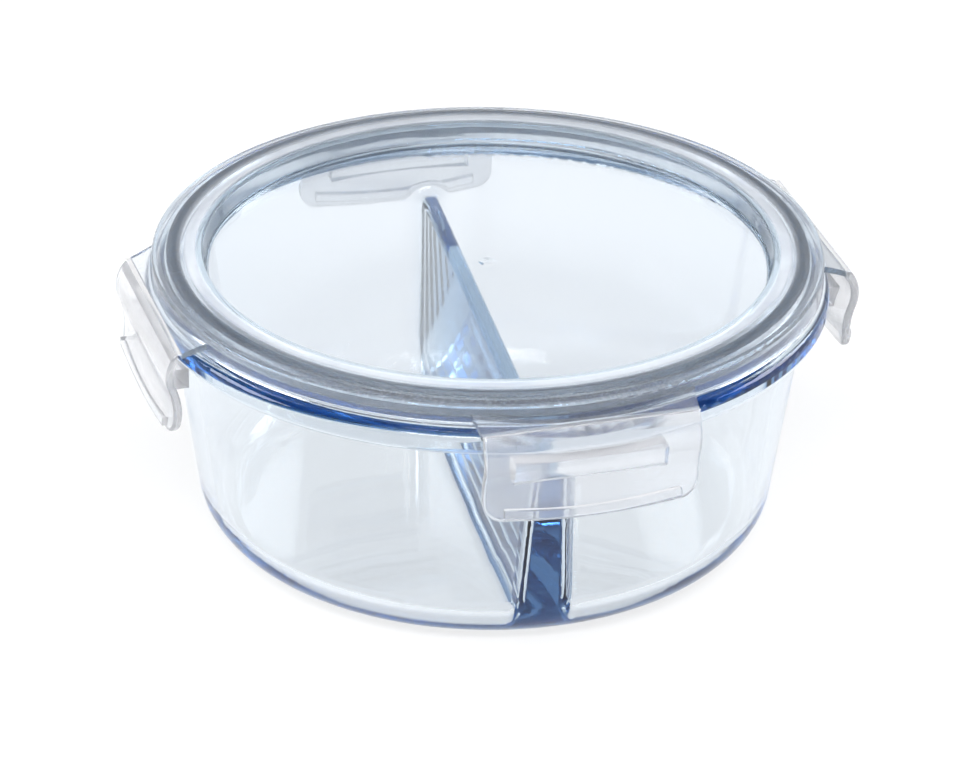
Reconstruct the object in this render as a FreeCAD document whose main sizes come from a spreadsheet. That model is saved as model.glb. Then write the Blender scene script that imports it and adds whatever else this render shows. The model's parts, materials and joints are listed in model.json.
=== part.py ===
import FreeCAD, Part

import math
import os

import Sketcher
from FreeCAD import Placement, Rotation, Vector

# A round glass food container, pressed in one piece with a straight divider, closed by a
# clear lid that is moulded with four latches on living hinges and holds a silicone gasket.
# Millimetres, +Z up, origin in the middle of the face it stands on, divider along Y.
# Radii are measured from the Z axis. The lid and what rides on it are turned by lid_turn.

DRIVING_SIZES = [
    # glass base
    ("foot_corner_radius", 72.5, "where the wall's outside would meet the table"),
    ("foot_round", 13.0, "outer radius between foot and wall"),
    ("wall_draft", 8.4, "degrees that the wall leans outward"),
    ("wall", 3.6, "wall thickness"),
    ("floor", 4.5, "floor thickness"),
    ("cavity_round", 9.4, "inner radius between floor and wall"),
    ("rim_radius", 87.0, "outside of the rim bead"),
    ("rim_low", 61.4, "underside of the rim bead"),
    ("rim_ledge", 67.2, "upper ledge of the rim bead"),
    ("bead_round", 2.0, "rounding along the rim bead's outer edges"),
    ("land_radius", 83.4, "outside of the sealing land"),
    ("land_top", 69.1, "top of the sealing land"),
    ("divider_top", 52.3, "height of the divider"),
    ("divider_crest", 4.4, "width of the divider at its top"),
    ("divider_draft", 2.5, "degrees that each side of the divider leans"),
    ("divider_round", 4.0, "radius where the divider meets floor and wall"),
    ("crest_round", 1.6, "rounding along the divider's top"),
    # lid
    ("lid_turn", 4.7, "degrees that the lid sits turned on the base"),
    ("lid_radius", 85.5, "outside of the skirt"),
    ("skirt_low", 68.8, "lower edge of the skirt"),
    ("skirt", 1.4, "skirt thickness"),
    ("lid_edge", 74.1, "height of the ring at its outer edge"),
    ("crest_radius", 79.9, "where the ring is highest"),
    ("lid_crest", 75.4, "height of the ring's crest"),
    ("crest_bend", 16.0, "radius of the ring's bend at its crest"),
    ("lip_radius", 72.6, "inner edge of the ring"),
    ("lid_lip", 75.3, "height of the ring's inner edge"),
    ("panel_radius", 71.7, "foot of the ring's inner wall"),
    ("panel_top", 70.5, "top of the sunken panel"),
    ("panel", 1.8, "panel thickness"),
    ("plug_low", 67.6, "lower edge of the plug wall inside the rim"),
    ("ring_wall", 1.9, "thickness of the ring's top and inner wall"),
    ("rib", 1.4, "thickness of the ribs that hold the gasket"),
    ("rib_low", 70.5, "lower edge of the ribs"),
    ("skirt_roof", 73.0, "roof of the gap between the outer rib and the skirt"),
    # gasket
    ("gasket_middle", 79.9, "middle radius of the gasket"),
    ("gasket_width", 3.2, "width of the gasket"),
    ("gasket_notch", 0.7, "depth of the groove between its two lips"),
    ("fit", 0.05, "play between parts that touch"),
    # tabs and latches
    ("tab_root_height", 72.5, "top of a tab inside the skirt"),
    ("tab_root_reach", 80.0, "where a tab starts inside the skirt"),
    ("tab", 1.6, "tab thickness"),
    ("tab_flare", 24, "radius of a tab's hollow ends"),
    ("tab_width", 74.2, "width of a tab before its ends are hollowed"),
    ("hinge_reach", 87.4, "distance of the hinge line from the axis"),
    ("hinge_height", 69.5, "height of the hinge line"),
    ("web_span", 1.0, "width of the thin hinge strip"),
    ("web", 0.5, "thickness of the hinge strip"),
    ("latch_width", 55.0, "width of a latch along its hinge"),
    ("latch", 2.2, "latch thickness"),
    ("bulge_reach", 90.9, "how far the latch bulges out round the rim"),
    ("bulge_height", 62.6, "height of the bulge"),
    ("waist_reach", 89.0, "how far the waist draws back in"),
    ("waist_height", 52.6, "height of the waist"),
    ("latch_low", 46.8, "lower edge of the latch"),
    ("latch_corner", 5.5, "radius of the latch's lower corners"),
    ("latch_bow", 2.6, "how much lower the latch's edge bows in the middle"),
    ("latch_round", 0.8, "rounding along the latch's edges"),
    ("lip_reach", 91.0, "outer face of the lip above the latch's lower edge"),
    ("lip_depth", 2.4, "thickness of the lip, partly within the latch"),
    ("lip_rise", 0.9, "how far above the edge the lip starts"),
    ("lip_top", 3.2, "how far above the edge the lip ends"),
    ("lip_width", 45.0, "length of the lip"),
    ("hook_radius", 85.4, "inner edge of the hook, below the rim"),
    ("hook_top", 61.1, "top of the hook"),
    ("hook", 5.4, "hook thickness"),
    ("hook_width", 38.8, "width of the hook"),
    ("gate_radius", 2.4, "radius of the gate dimple in the middle of the panel"),
    ("gate_depth", 0.15, "depth of the gate dimple"),
]

LATCH_TURNS = {"back": 0, "left": 90, "front": 180, "right": 270}

# What a cutting outline reaches past the solid it cuts.
OVERRUN = 1.0
# Share of the foot's rounding by which the divider's buried ends draw in at the floor.
END_TUCK = 0.45
# Share of half the latch's width along which its bowed lower edge is one arc.
BOW_SHARE = 0.7
# How nearly a face's axis must lie along an axis of the frame to count as lying along it.
NEARLY_ALONG = 0.9
SAME_HEIGHT = 0.01


class Size:
    """A number and the spreadsheet expression that gives it."""

    def __init__(self, value, text):
        self.value = value
        self.text = text

    def __add__(self, other):
        other = as_size(other)
        return Size(self.value + other.value, f"({self.text} + {other.text})")

    def __sub__(self, other):
        other = as_size(other)
        return Size(self.value - other.value, f"({self.text} - {other.text})")

    def __mul__(self, other):
        other = as_size(other)
        return Size(self.value * other.value, f"({self.text} * {other.text})")

    def __truediv__(self, other):
        other = as_size(other)
        return Size(self.value / other.value, f"({self.text} / {other.text})")

    def __neg__(self):
        return Size(-self.value, f"(0 - {self.text})")


def as_size(number):
    return number if isinstance(number, Size) else Size(float(number), str(number))


def tangent(degrees):
    return Size(math.tan(math.radians(degrees.value)), f"tan({degrees.text})")


def cosine(degrees):
    return Size(math.cos(math.radians(degrees.value)), f"cos({degrees.text})")


def root(square):
    return Size(math.sqrt(square.value), f"sqrt({square.text})")


class Sizes:
    """The spreadsheet of driving sizes, each readable as an attribute."""

    def __init__(self, doc):
        sheet = doc.addObject("Spreadsheet::Sheet", "Sizes")
        for row, (alias, value, note) in enumerate(DRIVING_SIZES, start=1):
            sheet.set(f"A{row}", alias)
            sheet.set(f"B{row}", str(value))
            sheet.set(f"C{row}", note)
            sheet.setAlias(f"B{row}", alias)
            setattr(self, alias, Size(value, f"Sizes.{alias}"))


def new_body(doc, label):
    body = doc.addObject("PartDesign::Body", label)
    body.Label = label
    return body


def turn_about_z(body, degrees):
    body.Placement = Placement(Vector(0, 0, 0), Rotation(Vector(0, 0, 1), degrees.value))
    body.setExpression("Placement.Rotation.Angle", degrees.text)


def new_sketch(body, plane, name, height=None):
    """An empty sketch on one of the body's own origin planes, raised by height."""
    sketch = body.newObject("Sketcher::SketchObject", name)
    support = next(f for f in body.Origin.OriginFeatures if f.Role == plane)
    sketch.AttachmentSupport = [(support, "")]
    sketch.MapMode = "FlatFace"
    if height is not None:
        sketch.AttachmentOffset = Placement(Vector(0, 0, height.value), Rotation())
        sketch.setExpression("AttachmentOffset.Base.z", height.text)
    return sketch


def bind(sketch, kind, where, size):
    """Adds one dimension and binds it to the spreadsheet."""
    index = sketch.addConstraint(Sketcher.Constraint(kind, *where, size.value))
    sketch.setExpression(f"Constraints[{index}]", size.text)


def pin(sketch, point, across, up):
    """Fixes a sketch point at two sizes; a plain 0 puts it on the axis."""
    for kind, size, axis in (("DistanceX", across, -2), ("DistanceY", up, -1)):
        if isinstance(size, Size):
            bind(sketch, kind, point, size)
        else:
            sketch.addConstraint(Sketcher.Constraint("PointOnObject", *point, axis))


def number(size):
    return size.value if isinstance(size, Size) else float(size)


def corner_arc(before, corner, after, radius):
    """The arc that rounds a corner: its two tangent points, its centre, and its turn."""
    back = (before - corner).normalize()
    ahead = (after - corner).normalize()
    half = back.getAngle(ahead) / 2
    leave = corner + back * (radius / math.tan(half))
    join = corner + ahead * (radius / math.tan(half))
    centre = corner + (back + ahead).normalize() * (radius / math.sin(half))
    turns_left = back.cross(ahead).z < 0
    return leave, join, centre, turns_left


def outline(sketch, corners):
    """Draws a closed outline through corners (across, up) or (across, up, radius)."""
    points = [Vector(number(c[0]), number(c[1]), 0) for c in corners]
    count = len(points)
    starts = list(points)
    ends = list(points)
    rounds = {}
    for i, corner in enumerate(corners):
        if len(corner) == 3:
            around = (points[i - 1], points[i], points[(i + 1) % count])
            leave, join, centre, turns_left = corner_arc(*around, corner[2].value)
            ends[i], starts[i] = leave, join
            rounds[i] = (centre, turns_left)
    edges = [sketch.addGeometry(Part.LineSegment(starts[i], ends[(i + 1) % count]))
             for i in range(count)]
    for i, corner in enumerate(corners):
        before, after = edges[i - 1], edges[i]
        if i not in rounds:
            sketch.addConstraint(Sketcher.Constraint("Coincident", before, 2, after, 1))
            pin(sketch, (after, 1), corner[0], corner[1])
            continue
        centre, turns_left = rounds[i]
        first, last = (ends[i], starts[i]) if turns_left else (starts[i], ends[i])
        angles = [math.atan2(p.y - centre.y, p.x - centre.x) for p in (first, last)]
        circle = Part.Circle(centre, Vector(0, 0, 1), corner[2].value)
        arc = sketch.addGeometry(Part.ArcOfCircle(circle, *angles))
        point = sketch.addGeometry(Part.Point(points[i]), True)
        arc_in, arc_out = (1, 2) if turns_left else (2, 1)
        sketch.addConstraint([
            Sketcher.Constraint("Tangent", before, 2, arc, arc_in),
            Sketcher.Constraint("Tangent", arc, arc_out, after, 1),
            Sketcher.Constraint("PointOnObject", point, 1, before),
            Sketcher.Constraint("PointOnObject", point, 1, after),
        ])
        bind(sketch, "Radius", (arc,), corner[2])
        pin(sketch, (point, 1), corner[0], corner[1])


def revolve(body, name, corners, kind="PartDesign::Revolution"):
    """Turns an outline in the XZ plane right round the Z axis."""
    sketch = new_sketch(body, "XZ_Plane", name + "_outline")
    outline(sketch, corners)
    feature = body.newObject(kind, name)
    feature.Profile = sketch
    feature.ReferenceAxis = (sketch, ["V_Axis"])
    feature.Angle = 360
    body.Tip = feature
    return feature


def pad_both_ways(body, name, sketch, length):
    feature = body.newObject("PartDesign::Pad", name)
    feature.Profile = sketch
    feature.SideType = "Symmetric"
    feature.setExpression("Length", length.text)
    body.Tip = feature
    return feature


def cut_through(body, name, sketch):
    """Cuts a sketch right through the body, both ways from its plane."""
    feature = body.newObject("PartDesign::Pocket", name)
    feature.Profile = sketch
    feature.SideType = "Symmetric"
    feature.Type = "ThroughAll"
    body.Tip = feature
    return feature


def fillet(doc, body, name, radius, wanted):
    """Rounds the edges of the body's last feature whose two faces wanted accepts."""
    doc.recompute()
    base = body.Tip
    shape = base.Shape
    names = [f"Edge{i}" for i, edge in enumerate(shape.Edges, start=1)
             if wanted(shape.ancestorsOfType(edge, Part.Face))]
    feature = body.newObject("PartDesign::Fillet", name)
    feature.Base = (base, names)
    feature.setExpression("Radius", radius.text)
    body.Tip = feature
    return feature


def glass_wall(s):
    """How far the wall leans out per millimetre of height, and its thickness measured level."""
    return tangent(s.wall_draft), s.wall / cosine(s.wall_draft)


def make_glass_base(doc, s):
    """The divider first, drafted from its top, then the round shell over its buried edges."""
    body = new_body(doc, "glass_base")
    add_divider(body, s)
    lean, level_wall = glass_wall(s)
    inside_foot = s.foot_corner_radius - level_wall
    small = s.wall / 3
    revolve(body, "shell", [
        (0, 0),
        (s.foot_corner_radius, 0, s.foot_round),
        (s.foot_corner_radius + lean * s.rim_low, s.rim_low, small),
        (s.rim_radius, s.rim_low, s.bead_round),
        (s.rim_radius, s.rim_ledge, s.bead_round),
        (s.land_radius, s.rim_ledge, small / 2),
        (s.land_radius, s.land_top, small / 2),
        (inside_foot + lean * s.land_top, s.land_top, small),
        (inside_foot + lean * s.floor, s.floor, s.cavity_round),
        (0, s.floor),
    ])
    fillet(doc, body, "crest_rounding", s.crest_round, lambda faces: (
        any(map(is_divider_side, faces)) and any(is_level_at(f, s.divider_top) for f in faces)))
    fillet(doc, body, "divider_blend", s.divider_round, lambda faces: (
        sum(is_divider_side(f) or is_crest(f, s) for f in faces) == 1))
    return body


def add_divider(body, s):
    """A drafted plate on edge across the middle that ends inside the floor and the wall."""
    lean, level_wall = glass_wall(s)
    mid_wall = s.foot_corner_radius - level_wall / 2
    low = s.floor / 2
    half_crest = s.divider_crest / 2
    half_root = half_crest + tangent(s.divider_draft) * (s.divider_top - low)
    section = new_sketch(body, "XZ_Plane", "divider_section")
    outline(section, [
        (-half_root, low),
        (half_root, low),
        (half_crest, s.divider_top),
        (-half_crest, s.divider_top),
    ])
    pad_both_ways(body, "divider", section, s.rim_radius * 2)
    ends = new_sketch(body, "YZ_Plane", "divider_ends")
    tucked = mid_wall - s.foot_round * END_TUCK
    under = low - OVERRUN
    over = s.divider_top + OVERRUN
    far = s.rim_radius + OVERRUN
    for side in (-1, 1):
        corners = [
            (tucked * side, under),
            (tucked * side, low),
            ((mid_wall + lean * s.foot_round) * side, s.foot_round),
            ((mid_wall + lean * over) * side, over),
            (far * side, over),
            (far * side, under),
        ]
        outline(ends, corners)
    cut_through(body, "divider_trim", ends)


def is_divider_side(face):
    return isinstance(face.Surface, Part.Plane) and abs(face.Surface.Axis.x) > NEARLY_ALONG


def is_level_at(face, height):
    level = isinstance(face.Surface, Part.Plane) and abs(face.Surface.Axis.z) > NEARLY_ALONG
    return level and abs(face.CenterOfMass.z - height.value) < SAME_HEIGHT


def is_crest(face, s):
    """The divider's top or one of the roundings beside it."""
    return is_cylinder_along(face, "y") or is_level_at(face, s.divider_top)


def make_gasket(doc, s):
    body = new_body(doc, "gasket")
    half = s.gasket_width / 2
    low = s.land_top + s.fit
    high = s.lid_lip - s.ring_wall - s.fit
    corner = s.gasket_width / 5
    revolve(body, "ring", [
        (s.gasket_middle - half, low, corner),
        (s.gasket_middle - half / 3, low),
        (s.gasket_middle, low + s.gasket_notch),
        (s.gasket_middle + half / 3, low),
        (s.gasket_middle + half, low, corner),
        (s.gasket_middle + half, high),
        (s.gasket_middle - half, high),
    ])
    turn_about_z(body, s.lid_turn)
    return body


def make_lid(doc, s):
    """Four tabs first, then the turned lid over them, then the channel cut from below."""
    body = new_body(doc, "lid")
    add_tabs(doc, body, s)
    foot = s.panel_top - s.panel
    inner_wall = s.lip_radius + s.ring_wall
    soft = s.ring_wall / 2
    revolve(body, "disc", [
        (0, foot),
        (s.panel_radius, foot),
        (s.panel_radius, s.plug_low),
        (s.crest_radius, s.plug_low),
        (s.crest_radius, s.skirt_low),
        (s.lid_radius, s.skirt_low),
        (s.lid_radius, s.lid_edge, soft),
        (s.crest_radius, s.lid_crest, s.crest_bend),
        (s.lip_radius, s.lid_lip, soft / 2),
        (s.panel_radius, s.panel_top, soft),
        (s.gate_radius, s.panel_top),
        (s.gate_radius / 2, s.panel_top - s.gate_depth),
        (0, s.panel_top - s.gate_depth),
    ])
    roof = s.lid_lip - s.ring_wall
    half = s.gasket_width / 2 + s.fit
    seat_in = s.gasket_middle - half
    seat_out = s.gasket_middle + half
    skirt_inside = s.lid_radius - s.skirt
    under = s.plug_low - OVERRUN
    channel = revolve(body, "channel", [
        (inner_wall, under),
        (inner_wall, roof),
        (seat_in - s.rib, roof),
        (seat_in - s.rib, s.rib_low),
        (seat_in, s.rib_low),
        (seat_in, roof),
        (seat_out, roof),
        (seat_out, s.rib_low),
        (seat_out + s.rib, s.rib_low),
        (seat_out + s.rib, s.skirt_roof),
        (skirt_inside, s.skirt_roof),
        (skirt_inside, under),
    ], "PartDesign::Groove")
    doc.recompute()
    assert channel.Shape.Volume < body.getObject("disc").Shape.Volume, "channel cuts nothing"
    turn_about_z(body, s.lid_turn)
    return body


def add_tabs(doc, body, s):
    """A sloping tab with hollow ends, repeated round the lid."""
    reach = s.hinge_reach - s.web_span / 2
    low_end = s.hinge_height + s.web / 2
    section = new_sketch(body, "YZ_Plane", "tab_section")
    outline(section, [
        (s.tab_root_reach, s.tab_root_height),
        (s.tab_root_reach, s.tab_root_height - s.tab),
        (reach, low_end - s.tab),
        (reach, low_end),
    ])
    tab = pad_both_ways(body, "tab", section, s.tab_width)
    ends = new_sketch(body, "XY_Plane", "tab_ends")
    for side in (-1, 1):
        centre = (s.latch_width / 2 + s.tab_flare) * side
        circle = Part.Circle(Vector(centre.value, reach.value, 0), Vector(0, 0, 1),
                             s.tab_flare.value)
        index = ends.addGeometry(circle)
        bind(ends, "Radius", (index,), s.tab_flare)
        pin(ends, (index, 3), centre, reach)
    trim = cut_through(body, "tab_trim", ends)
    pattern = body.newObject("PartDesign::PolarPattern", "tabs")
    pattern.Originals = [tab, trim]
    pattern.Axis = (section, ["V_Axis"])
    pattern.Angle = 360
    pattern.Occurrences = len(LATCH_TURNS)
    body.Tip = pattern


def make_latch(doc, s, side):
    """A flap that hangs from its hinge line: an S-shaped section with a hook inside."""
    body = new_body(doc, f"{side}_latch")
    section = new_sketch(body, "YZ_Plane", "section")
    draw_flap(section, s)
    pad_both_ways(body, "flap", section, s.latch_width)
    trim_lower_edge(body, s)
    fillet(doc, body, "edge_rounding", s.latch_round, is_flap_edge)
    add_hook(body, s)
    add_lip(body, s)
    turn_about_z(body, s.lid_turn + LATCH_TURNS[side])
    return body


def draw_flap(sketch, s):
    """The flap's section: it bulges out round the rim bead, then draws in to a waist.

    The bulge is an arc about a centre inside the flap and the waist an arc about one outside
    it. They meet tangentially, and the inner face is the same two arcs offset by the
    thickness, from the level of the hinge down to the lowest point of the bowed edge.
    """
    start_reach = s.hinge_reach + s.web_span / 2
    start_height = s.hinge_height + s.web / 2
    lowest = s.latch_low - s.latch_bow
    swell = s.bulge_reach - start_reach
    drop = start_height - s.bulge_height
    bulge_radius = (swell * swell + drop * drop) / (swell * 2)
    bulge_centre = s.bulge_reach - bulge_radius
    inset = s.waist_reach - bulge_centre
    fall = s.bulge_height - s.waist_height
    squares = inset * inset + fall * fall - bulge_radius * bulge_radius
    waist_radius = squares / ((bulge_radius - inset) * 2)
    waist_centre = s.waist_reach + waist_radius

    upper = Vector(bulge_centre.value, s.bulge_height.value, 0)
    lower = Vector(waist_centre.value, s.waist_height.value, 0)
    meeting = math.atan2(lower.y - upper.y, lower.x - upper.x)
    edges = []
    for offset in (0.0, s.latch.value):
        tight = bulge_radius.value - offset
        wide = waist_radius.value + offset
        top = math.acos((start_reach.value - upper.x) / tight)
        low = math.pi - math.asin((lowest.value - lower.y) / wide)
        bulge = Part.Circle(upper, Vector(0, 0, 1), tight)
        waist = Part.Circle(lower, Vector(0, 0, 1), wide)
        edges.append(sketch.addGeometry(Part.ArcOfCircle(bulge, meeting, top)))
        edges.append(sketch.addGeometry(Part.ArcOfCircle(waist, meeting + math.pi, low)))
    bulge_out, waist_out, bulge_in, waist_in = edges
    ends = [sketch.Geometry[edge].EndPoint for edge in edges]
    top_edge = sketch.addGeometry(Part.LineSegment(ends[0], ends[2]))
    low_edge = sketch.addGeometry(Part.LineSegment(ends[1], ends[3]))
    sketch.addConstraint([
        Sketcher.Constraint("Coincident", bulge_out, 3, bulge_in, 3),
        Sketcher.Constraint("Coincident", waist_out, 3, waist_in, 3),
        Sketcher.Constraint("Tangent", bulge_out, 1, waist_out, 1),
        Sketcher.Constraint("Coincident", bulge_in, 1, waist_in, 1),
        Sketcher.Constraint("Coincident", bulge_out, 2, top_edge, 1),
        Sketcher.Constraint("Coincident", bulge_in, 2, top_edge, 2),
        Sketcher.Constraint("Coincident", waist_out, 2, low_edge, 1),
        Sketcher.Constraint("Coincident", waist_in, 2, low_edge, 2),
        Sketcher.Constraint("Vertical", top_edge),
        Sketcher.Constraint("Horizontal", low_edge),
    ])
    pin(sketch, (bulge_out, 3), bulge_centre, s.bulge_height)
    bind(sketch, "Radius", (bulge_out,), bulge_radius)
    bind(sketch, "Radius", (bulge_in,), bulge_radius - s.latch)
    bind(sketch, "DistanceY", (waist_out, 3), s.waist_height)
    bind(sketch, "DistanceX", (waist_out, 3), waist_centre)
    bind(sketch, "DistanceX", (top_edge, 1), start_reach)
    bind(sketch, "DistanceY", (low_edge, 1), lowest)


def add_hook(body, s):
    """A ledge inside the flap whose edge follows the round rim that it catches."""
    low = s.hook_top - s.hook
    half = s.hook_width / 2
    back = s.bulge_reach - s.latch
    tip = root(s.hook_radius * s.hook_radius - half * half)
    sketch = new_sketch(body, "XY_Plane", "hook_plan", low)
    right = Vector(half.value, tip.value, 0)
    left = Vector(-half.value, tip.value, 0)
    circle = Part.Circle(Vector(0, 0, 0), Vector(0, 0, 1), s.hook_radius.value)
    angles = [math.atan2(p.y, p.x) for p in (right, left)]
    arc = sketch.addGeometry(Part.ArcOfCircle(circle, *angles))
    far_left = Vector(-half.value, back.value, 0)
    far_right = Vector(half.value, back.value, 0)
    lines = [sketch.addGeometry(Part.LineSegment(a, b))
             for a, b in ((left, far_left), (far_left, far_right), (far_right, right))]
    sketch.addConstraint([
        Sketcher.Constraint("Coincident", arc, 3, -1, 1),
        Sketcher.Constraint("Coincident", arc, 2, lines[0], 1),
        Sketcher.Constraint("Coincident", lines[0], 2, lines[1], 1),
        Sketcher.Constraint("Coincident", lines[1], 2, lines[2], 1),
        Sketcher.Constraint("Coincident", lines[2], 2, arc, 1),
        Sketcher.Constraint("Vertical", lines[0]),
        Sketcher.Constraint("Vertical", lines[2]),
        Sketcher.Constraint("Horizontal", lines[1]),
    ])
    bind(sketch, "Radius", (arc,), s.hook_radius)
    bind(sketch, "DistanceX", (lines[0], 1), -half)
    bind(sketch, "DistanceX", (lines[2], 1), half)
    bind(sketch, "DistanceY", (lines[1], 1), back)
    hook = body.newObject("PartDesign::Pad", "hook")
    hook.Profile = sketch
    hook.setExpression("Length", s.hook.text)
    body.Tip = hook


def add_lip(body, s):
    """A raised strip that follows the lower edge, for a fingertip to pull on."""
    sketch = new_sketch(body, "XZ_Plane", "lip_outline", -s.lip_reach)
    half = s.lip_width / 2
    bow_radius = half * half * BOW_SHARE / s.latch_bow
    low = s.latch_low + s.lip_rise
    high = s.latch_low + s.lip_top
    outline(sketch, [
        (-half, low),
        (0, low - s.latch_bow, bow_radius),
        (half, low),
        (half, high),
        (0, high - s.latch_bow, bow_radius),
        (-half, high),
    ])
    lip = body.newObject("PartDesign::Pad", "lip")
    lip.Profile = sketch
    lip.setExpression("Length", s.lip_depth.text)
    body.Tip = lip


def trim_lower_edge(body, s):
    """Cuts the flap's outline: a gently bowed lower edge between two round corners."""
    sketch = new_sketch(body, "XZ_Plane", "lower_edge")
    edge = s.latch_width / 2
    outside = edge + OVERRUN
    high = s.latch_low + s.latch_corner * 2
    under = s.latch_low - s.latch_bow - OVERRUN
    bow_radius = edge * edge * BOW_SHARE / s.latch_bow
    outline(sketch, [
        (-outside, high),
        (-edge, high),
        (-edge, s.latch_low, s.latch_corner),
        (0, s.latch_low - s.latch_bow, bow_radius),
        (edge, s.latch_low, s.latch_corner),
        (edge, high),
        (outside, high),
        (outside, under),
        (-outside, under),
    ])
    cut_through(body, "edge_trim", sketch)


def is_flap_edge(faces):
    """True where one of the flap's curved faces meets its sides or its lower edge."""
    curved = [is_cylinder_along(face, "x") for face in faces]
    across = [is_cylinder_along(f, "y") or is_plane_off_hinge(f) for f in faces]
    return curved.count(True) == 1 and across.count(True) == 1


def is_cylinder_along(face, axis):
    surface = face.Surface
    return isinstance(surface, Part.Cylinder) and abs(getattr(surface.Axis, axis)) > NEARLY_ALONG


def is_plane_off_hinge(face):
    """A flat side of the flap, and not the flat strip where its hinge web joins."""
    return isinstance(face.Surface, Part.Plane) and abs(face.Surface.Axis.y) < SAME_HEIGHT


def make_hinge_web(doc, s, side):
    """The thin strip of plastic that a latch bends on."""
    body = new_body(doc, f"{side}_hinge_web")
    near = s.hinge_reach - s.web_span / 2
    far = s.hinge_reach + s.web_span / 2
    low = s.hinge_height - s.web / 2
    high = s.hinge_height + s.web / 2
    sketch = new_sketch(body, "YZ_Plane", "strip_section")
    outline(sketch, [(near, low), (far, low), (far, high), (near, high)])
    pad_both_ways(body, "strip", sketch, s.latch_width)
    turn_about_z(body, s.lid_turn + LATCH_TURNS[side])
    return body


def check(doc, bodies):
    doc.recompute()
    for thing in doc.Objects:
        bad = {"Invalid", "Error"} & set(thing.State)
        assert not bad, f"{thing.Label}: {thing.State}"
    for body in bodies:
        shape = body.Shape
        assert not shape.isNull() and shape.isValid(), body.Label
        assert len(shape.Solids) == 1, f"{body.Label} has {len(shape.Solids)} solids"


def main():
    doc = FreeCAD.newDocument("glass_container")
    s = Sizes(doc)
    bodies = [make_glass_base(doc, s), make_lid(doc, s), make_gasket(doc, s)]
    for side in LATCH_TURNS:
        bodies.append(make_latch(doc, s, side))
        bodies.append(make_hinge_web(doc, s, side))
    check(doc, bodies)
    os.makedirs("parts", exist_ok=True)
    for body in bodies:
        body.Shape.exportStep(f"parts/{body.Label}.step")
        print(f"{body.Label}: {body.Shape.Volume / 1000:.2f} cm3")


main()
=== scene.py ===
import json
import math

import bpy
from mathutils import Matrix, Vector


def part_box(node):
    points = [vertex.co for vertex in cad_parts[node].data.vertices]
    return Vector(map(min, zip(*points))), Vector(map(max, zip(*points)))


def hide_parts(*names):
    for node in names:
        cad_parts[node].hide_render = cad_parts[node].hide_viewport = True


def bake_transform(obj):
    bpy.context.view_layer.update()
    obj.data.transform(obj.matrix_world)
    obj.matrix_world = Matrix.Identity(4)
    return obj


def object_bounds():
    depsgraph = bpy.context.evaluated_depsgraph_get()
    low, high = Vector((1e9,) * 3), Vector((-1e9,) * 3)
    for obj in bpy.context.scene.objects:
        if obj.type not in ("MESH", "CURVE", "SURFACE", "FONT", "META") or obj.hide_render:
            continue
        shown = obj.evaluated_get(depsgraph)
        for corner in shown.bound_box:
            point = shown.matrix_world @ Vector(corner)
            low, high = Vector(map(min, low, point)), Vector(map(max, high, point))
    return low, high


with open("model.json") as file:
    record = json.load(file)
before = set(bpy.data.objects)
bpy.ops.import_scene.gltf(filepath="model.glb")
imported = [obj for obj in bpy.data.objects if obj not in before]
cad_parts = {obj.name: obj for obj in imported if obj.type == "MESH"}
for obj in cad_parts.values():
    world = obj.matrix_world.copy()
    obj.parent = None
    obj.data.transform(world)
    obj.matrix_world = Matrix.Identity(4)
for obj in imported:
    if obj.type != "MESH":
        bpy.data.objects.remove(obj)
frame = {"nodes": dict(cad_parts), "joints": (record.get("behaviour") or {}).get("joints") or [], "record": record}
cad_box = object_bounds()

# The camera: a long lens, well above level, turned a little from the divider's line and rolled
# slightly. Degrees, metres and millimetres of focal length.
VIEW_TURN = -12.3
VIEW_HEIGHT = 28.0
VIEW_DISTANCE = 1.4
VIEW_ROLL = 0.854
VIEW_TARGET = 0.45  # share of the object's height
LENS = 203.0
FRAMING = (-0.0042, 0.0047)

# The studio is white at the sides, and dark blue overhead and on the camera's side: glass shows
# as glass by what its edges bend into view, so they need something dark.
DARK_HEIGHT = 65.0  # degrees above level, on the camera's side, of the middle of the dark part
STUDIO_WHITE = (0.08, (1, 1, 1, 1))  # cosine of the angle from that middle, and the colour there
STUDIO_BLUE = (0.36, (0.10, 0.23, 0.42, 1))
STUDIO_DARK = (0.62, (0.005, 0.03, 0.10, 1))
STUDIO_STRENGTH = 0.85
FRONT_HEIGHT = 52.0
FRONT_DISTANCE = 1.25
SIDE_SIZE = (0.8, 0.6)
FLOOR_HALF = 1.6
FLOOR_GAP = 0.0002
FLOOR_GLOW = 0.78

# The lid's finish changes with the distance from its middle: clear, then milky up to the gasket,
# specked over it and a little milky outside it. Where each change starts and ends is a share of
# the gasket's outer radius.
RING_START = (0.905, 0.915)
INSIDE_FADE = (0.940, 0.975)
OUTSIDE_FADE = (0.985, 1.01)
OUTSIDE_MILK = 0.24  # how milky, where 1 is as milky as inside the gasket
SPECK_MILK = 0.22

# Bump depths in metres.
GLASS_WAVES = 0.00012
LID_WAVES = 0.00002
LID_PITS = 0.00003
LATCH_GRAIN = 0.00002
SILICONE_GRAIN = 0.00005

# A living hinge's section: how many steps each curved face is drawn in, how thick it is in the middle as a share
# of its thickness at the ends, and how far each end runs into the plastic as a share of its width.
HINGE_STEPS = 12
HINGE_THIN = 0.6
HINGE_BURIED = 0.25


def view_direction(height_angle):
    """A unit vector towards the camera's side, at an angle above level."""
    turn, height = math.radians(VIEW_TURN), math.radians(height_angle)
    return Vector((
        math.sin(turn) * math.cos(height),
        -math.cos(turn) * math.cos(height),
        math.sin(height),
    ))


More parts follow.
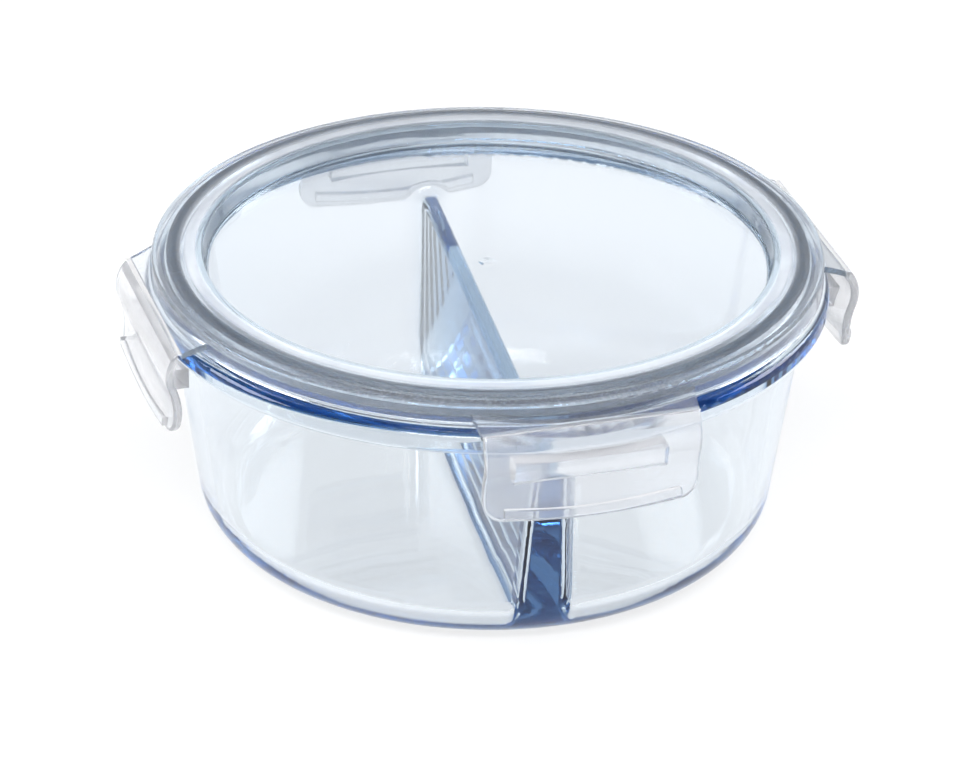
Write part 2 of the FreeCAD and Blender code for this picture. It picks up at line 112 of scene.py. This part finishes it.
def add_camera():
    high = cad_box[1]
    target = Vector((0, 0, VIEW_TARGET * high.z))
    back = view_direction(VIEW_HEIGHT)
    data = bpy.data.cameras.new("camera")
    data.lens = LENS
    data.shift_x, data.shift_y = FRAMING
    camera = bpy.data.objects.new("camera", data)
    bpy.context.scene.collection.objects.link(camera)
    upright = (-back).to_track_quat("-Z", "Y").to_matrix().to_4x4()
    roll = Matrix.Rotation(math.radians(VIEW_ROLL), 4, "Z")
    camera.matrix_world = Matrix.Translation(target + back * VIEW_DISTANCE) @ upright @ roll
    bpy.context.scene.camera = camera


class Nodes:
    """A material's node tree, with one short call for each node."""

    def __init__(self, name):
        self.material = bpy.data.materials.new(name)
        self.material.use_nodes = True
        self.tree = self.material.node_tree
        self.shader = self.tree.nodes["Principled BSDF"]
        self.output = self.tree.nodes["Material Output"]
        self.place = self.tree.nodes.new("ShaderNodeTexCoord").outputs["Object"]

    def link(self, source, target):
        self.tree.links.new(source, target)

    def add(self, kind, **inputs):
        node = self.tree.nodes.new(kind)
        for name, value in inputs.items():
            socket = node.inputs[name.replace("_", " ")]
            if isinstance(value, bpy.types.NodeSocket):
                self.link(value, socket)
            else:
                socket.default_value = value
        return node

    def noise(self, scale, detail=3.0, roughness=0.5):
        return self.add("ShaderNodeTexNoise", Vector=self.place, Scale=scale, Detail=detail,
                        Roughness=roughness).outputs["Fac"]

    def spread(self, value, low, high, start=0.3, end=0.7):
        """Maps a 0 to 1 pattern to low to high."""
        node = self.add("ShaderNodeMapRange", Value=value)
        node.inputs["From Min"].default_value = start
        node.inputs["From Max"].default_value = end
        node.inputs["To Min"].default_value = low
        node.inputs["To Max"].default_value = high
        return node.outputs["Result"]

    def radius(self):
        """Distance from the Z axis."""
        flat = self.add("ShaderNodeVectorMath", Vector=self.place)
        flat.operation = "MULTIPLY"
        flat.inputs[1].default_value = (1, 1, 0)
        length = self.add("ShaderNodeVectorMath", Vector=flat.outputs["Vector"])
        length.operation = "LENGTH"
        return length.outputs["Value"]

    def mix(self, share, low, high):
        node = self.add("ShaderNodeMix", Factor=share)
        for name, value in (("A", low), ("B", high)):
            if isinstance(value, bpy.types.NodeSocket):
                self.link(value, node.inputs[name])
            else:
                node.inputs[name].default_value = value
        return node.outputs["Result"]

    def bump(self, height, depth, normal=None):
        node = self.add("ShaderNodeBump", Height=height)
        node.inputs["Strength"].default_value = 1.0
        node.inputs["Distance"].default_value = depth
        if normal is not None:
            self.link(normal, node.inputs["Normal"])
        return node.outputs["Normal"]

    def set(self, **values):
        for name, value in values.items():
            self.shader.inputs[name.replace("_", " ")].default_value = value


def glass():
    """Pressed soda-lime glass: slightly wavy from the mould, and blue where it is deep."""
    n = Nodes("clear_glass")
    n.set(Base_Color=(1, 1, 1, 1), Transmission_Weight=1.0, IOR=1.5)
    n.link(n.bump(n.noise(28.0, detail=2.0), GLASS_WAVES), n.shader.inputs["Normal"])
    n.link(n.spread(n.noise(400.0), 0.0, 0.02), n.shader.inputs["Roughness"])
    tint = n.add("ShaderNodeVolumeAbsorption", Color=(0.15, 0.45, 0.70, 1.0), Density=21.0)
    n.link(tint.outputs["Volume"], n.output.inputs["Volume"])
    return n.material


def clear_plastic():
    """Polypropylene: polished on the sunken panel, milky round it, and grained over the gasket."""
    n = Nodes("clear_lid")
    n.set(Base_Color=(0.97, 0.98, 1.0, 1), IOR=1.49, Specular_Tint=(0.35, 0.55, 0.8, 1))
    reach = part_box("gasket")[1].x
    radius = n.radius()

    def change(low, high, shares):
        return n.spread(radius, low, high, start=reach * shares[0], end=reach * shares[1])

    ring = change(0.0, 1.0, RING_START)
    inside = change(1.0, 0.0, INSIDE_FADE)
    outside = change(0.0, OUTSIDE_MILK, OUTSIDE_FADE)
    milky = n.add("ShaderNodeMath", Value=inside)
    milky.operation = "ADD"
    n.link(outside, milky.inputs[1])
    grain = n.noise(1500.0, detail=3.0, roughness=0.7)
    specks = n.spread(grain, 0.0, SPECK_MILK, start=0.5, end=0.62)
    cloud = n.spread(n.noise(90.0, detail=4.0), 0.8, 1.0)
    share = n.mix(ring, 0.0, n.mix(milky.outputs["Value"], specks, cloud))
    n.link(n.mix(share, 1.0, 0.60), n.shader.inputs["Transmission Weight"])
    grained = n.mix(share, ring, 0.0)
    waves = n.bump(n.noise(60.0, detail=2.0), LID_WAVES)
    pits = n.add("ShaderNodeMath", Value=grain)
    pits.operation = "MULTIPLY"
    n.link(grained, pits.inputs[1])
    n.link(n.bump(pits.outputs["Value"], LID_PITS, waves), n.shader.inputs["Normal"])
    flow = n.noise(250.0)
    polished, satin = n.spread(flow, 0.02, 0.06), n.spread(flow, 0.12, 0.22)
    n.link(n.mix(share, polished, satin), n.shader.inputs["Roughness"])
    tint = n.add("ShaderNodeVolumeAbsorption", Color=(0.25, 0.52, 0.70, 1.0), Density=45.0)
    n.link(tint.outputs["Volume"], n.output.inputs["Volume"])
    return n.material


def frosted_plastic():
    """The same plastic where it is textured: milky and satin."""
    n = Nodes("frosted_latch")
    n.set(Base_Color=(0.99, 0.99, 1.0, 1), Transmission_Weight=0.84, IOR=1.49)
    n.link(n.bump(n.noise(900.0, detail=2.0), LATCH_GRAIN), n.shader.inputs["Normal"])
    n.link(n.spread(n.noise(250.0), 0.10, 0.2), n.shader.inputs["Roughness"])
    return n.material


def silicone():
    """Blue-grey silicone, speckled where it is pressed, and darkened with painted shade of the gap under the lid.
    """
    n = Nodes("silicone")
    speckle = n.noise(1100.0, detail=4.0, roughness=0.7)
    # Painted shade: this ramp runs darker than the silicone's own blue-grey. The extra darkness stands in for the
    # shade in the gap under the lid's ring.
    colour = n.add("ShaderNodeValToRGB", Fac=speckle)
    colour.color_ramp.elements[0].position = 0.35
    colour.color_ramp.elements[0].color = (0.002, 0.008, 0.020, 1)
    colour.color_ramp.elements[1].position = 0.65
    colour.color_ramp.elements[1].color = (0.03, 0.075, 0.14, 1)
    n.link(colour.outputs["Color"], n.shader.inputs["Base Color"])
    n.link(n.spread(speckle, 0.45, 0.7), n.shader.inputs["Roughness"])
    n.link(n.bump(speckle, SILICONE_GRAIN), n.shader.inputs["Normal"])
    return n.material


def dress_cad_nodes(made):
    for part in frame["record"]["subparts"]:
        node = frame["nodes"][part["node"]]
        node.material_slots[0].material = made[part["material_slot"]]


def add_living_hinge(joint, material):
    """A thin grooved strip along its latch's hinge line, in place of the rigid CAD strip."""
    side = joint["child"].removesuffix("_latch")
    web = frame["nodes"][f"{side}_hinge_web"]
    middle, along = Vector(joint["pos_m"]), Vector(joint["axis"]).normalized()
    up = Vector((0, 0, 1))
    out = Vector((middle.x, middle.y, 0)).normalized()
    offsets = [web.matrix_world @ vertex.co - middle for vertex in web.data.vertices]
    length, width, thickness = (max(o.dot(way) for o in offsets) - min(o.dot(way) for o in offsets)
                                for way in (along, out, up))
    outline = []
    for face in (1, -1):
        for step in range(HINGE_STEPS + 1):
            across = (step / HINGE_STEPS * 2 - 1) * face
            waist = HINGE_THIN + (1 - HINGE_THIN) * across ** 2
            reach = across * (0.5 + HINGE_BURIED)
            outline.append(out * (reach * width) + up * (face * waist * thickness / 2))
    mesh = bpy.data.meshes.new(f"{side}_living_hinge")
    points = [middle + along * (end * length / 2) + point for end in (-1, 1) for point in outline]
    count = len(outline)
    faces = [(i, (i + 1) % count, (i + 1) % count + count, i + count) for i in range(count)]
    faces += [tuple(reversed(range(count))), tuple(range(count, 2 * count))]
    mesh.from_pydata(points, [], faces)
    mesh.materials.append(material)
    hinge = bpy.data.objects.new(f"{side}_living_hinge", mesh)
    bpy.context.scene.collection.objects.link(hinge)
    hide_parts(web.name)
    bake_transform(hinge)


def add_floor():
    mesh = bpy.data.meshes.new("floor")
    size = FLOOR_HALF
    corners = [(-size, -size, 0), (size, -size, 0), (size, size, 0), (-size, size, 0)]
    mesh.from_pydata(corners, [], [(0, 1, 2, 3)])
    floor = bpy.data.objects.new("floor", mesh)
    floor.location.z = -FLOOR_GAP
    bpy.context.scene.collection.objects.link(floor)
    n = Nodes("floor")
    n.set(Base_Color=(0.22, 0.22, 0.22, 1), Roughness=0.9, Emission_Color=(1, 1, 1, 1),
          Emission_Strength=FLOOR_GLOW)
    mesh.materials.append(n.material)


def add_world():
    """The studio's walls, whose colour follows from how near they are to its dark part."""
    world = bpy.data.worlds.new("studio")
    world.use_nodes = True
    tree = world.node_tree
    background = tree.nodes["Background"]
    place = tree.nodes.new("ShaderNodeTexCoord")
    facing = tree.nodes.new("ShaderNodeVectorMath")
    facing.operation = "DOT_PRODUCT"
    facing.inputs[1].default_value = view_direction(DARK_HEIGHT)
    ramp = tree.nodes.new("ShaderNodeValToRGB")
    tree.links.new(place.outputs["Generated"], facing.inputs[0])
    tree.links.new(facing.outputs["Value"], ramp.inputs["Fac"])
    elements = ramp.color_ramp.elements
    elements[0].position, elements[0].color = STUDIO_WHITE
    elements[1].position, elements[1].color = STUDIO_DARK
    nearness, colour = STUDIO_BLUE
    elements.new(nearness).color = colour
    tree.links.new(ramp.outputs["Color"], background.inputs["Color"])
    background.inputs["Strength"].default_value = STUDIO_STRENGTH
    bpy.context.scene.world = world


def add_softbox(name, place, size, power):
    data = bpy.data.lights.new(name, "AREA")
    data.shape = "RECTANGLE"
    data.size, data.size_y = size
    data.energy = power
    light = bpy.data.objects.new(name, data)
    light.location = place
    light.rotation_mode = "QUATERNION"
    light.rotation_quaternion = (-Vector(place)).to_track_quat("-Z", "Y")
    bpy.context.scene.collection.objects.link(light)


scene = bpy.context.scene
scene.view_settings.view_transform = "Standard"
# Light is followed through the many reflections inside the glass's edges.
scene.cycles.max_bounces = 64
scene.cycles.transmission_bounces = 32
scene.cycles.glossy_bounces = 40
add_camera()
add_world()
add_floor()
add_softbox("front", view_direction(FRONT_HEIGHT) * FRONT_DISTANCE, (0.9, 0.35), 14.0)
add_softbox("key", (-1.1, 0.3, 0.8), SIDE_SIZE, 12.0)
add_softbox("fill", (1.1, 0.3, 0.8), SIDE_SIZE, 11.0)
materials = {"clear_glass": glass(), "clear_lid": clear_plastic(),
             "frosted_latch": frosted_plastic(), "silicone": silicone()}
dress_cad_nodes(materials)
for joint in frame["joints"]:
    if joint["child"].endswith("_latch"):
        add_living_hinge(joint, materials["frosted_latch"])
